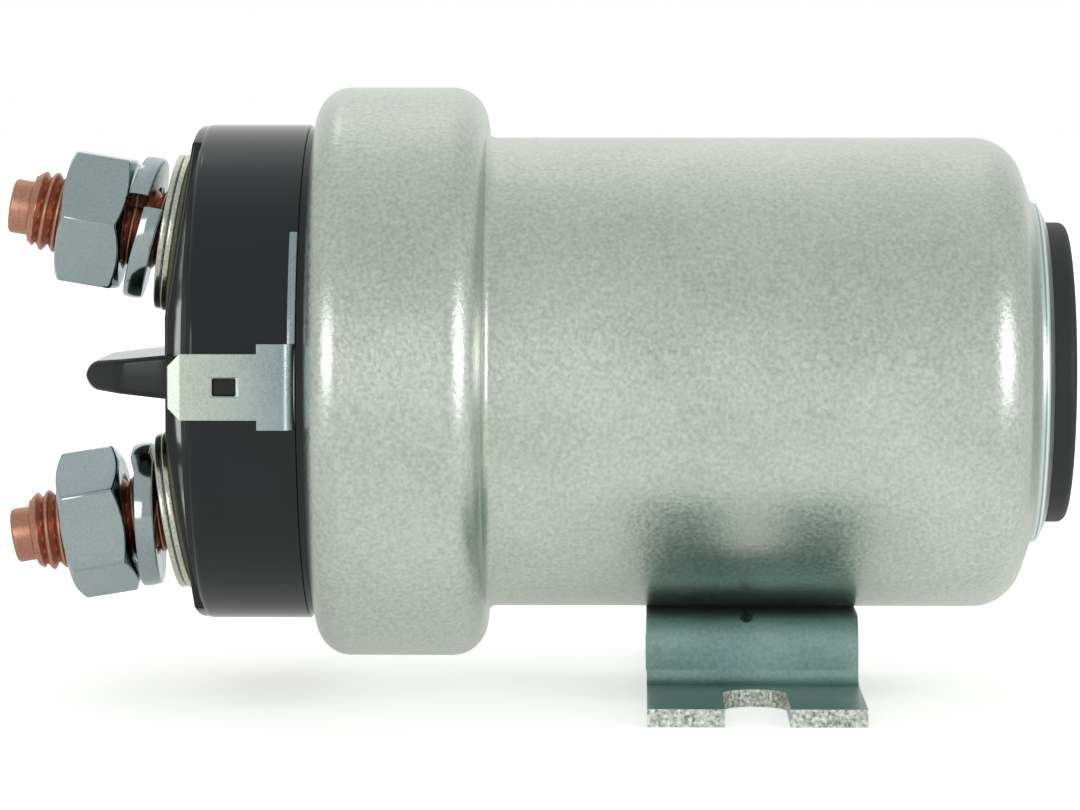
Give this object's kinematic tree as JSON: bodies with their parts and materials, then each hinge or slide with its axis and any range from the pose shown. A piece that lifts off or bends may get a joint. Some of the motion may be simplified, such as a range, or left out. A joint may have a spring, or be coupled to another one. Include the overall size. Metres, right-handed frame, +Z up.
{
  "type": "starter solenoid relay",
  "caption": "Cylindrical solenoid relay: a steel can with a coil and plunger, a moulded cap with two threaded studs and a blade terminal, and a slotted foot bracket.",
  "frame": {"origin": "centre of the foot bracket on its mounting plane, midway between the two open bolt slots", "axes": "+X along the plunger from the terminals to the end plug, +Z up from the mounting plane, +Y away from the blade terminal"},
  "size_m": [0.1059, 0.0608, 0.0602],
  "materials": {
    "zinc_can": "satin",
    "zinc_bracket": "satin",
    "zinc_hardware": "satin",
    "tinned_blade": "satin",
    "copper": "satin",
    "cap_moulding": "satin",
    "plug_rubber": "matte",
    "seal_fibre": "matte",
    "gasket_fibre": "matte",
    "soft_iron": "satin",
    "brass": "satin",
    "nylon": "satin",
    "enamelled_wire": "gloss",
    "wrap_film": "satin",
    "spring_steel": "satin",
    "bush_laminate": "satin",
    "rod_steel": "satin"
  },
  "bodies": {
    "housing": {"can": "zinc_can", "foot_bracket": "zinc_bracket", "terminal_cap": "cap_moulding", "cap_gasket": "gasket_fibre", "pole_plate": "soft_iron", "fixed_core": "soft_iron", "guide_tube": "brass", "coil_bobbin": "nylon", "coil_winding": "enamelled_wire", "coil_wrap": "wrap_film", "coil_lead_live": "enamelled_wire", "coil_lead_earth": "enamelled_wire", "end_yoke": "soft_iron", "stop_washer": "brass", "end_plug": "plug_rubber", "stud_upper": "copper", "stud_lower": "copper", "stud_seals": "seal_fibre", "flat_washers": "zinc_hardware", "spring_washers": "zinc_hardware", "hex_nuts": "zinc_hardware", "blade_terminal": "tinned_blade", "return_spring": "spring_steel"},
    "plunger_group": {"plunger": "soft_iron", "plunger_rod": "rod_steel", "spring_seat": "zinc_hardware", "rod_clip": "spring_steel", "contact_spring": "spring_steel"},
    "contact_bridge": {"contact_disc": "copper", "bridge_bush": "bush_laminate", "front_insulator": "bush_laminate"}
  },
  "joints": [
    {"name": "plunger_slide", "type": "slide", "parent": "housing", "child": "plunger_group", "axis": [-1, 0, 0], "range_m": [0, 0.004], "stiffness_N_per_m": 1200, "springref_m": -0.004, "deforming": ["return_spring"]},
    {"name": "contact_overtravel", "type": "slide", "parent": "plunger_group", "child": "contact_bridge", "axis": [1, 0, 0], "range_m": [0, 0.001], "deforming": ["contact_spring"]}
  ],
  "couplings": [
    {"joint": "contact_overtravel", "follows": "plunger_slide", "ratio": 0.25}
  ]
}
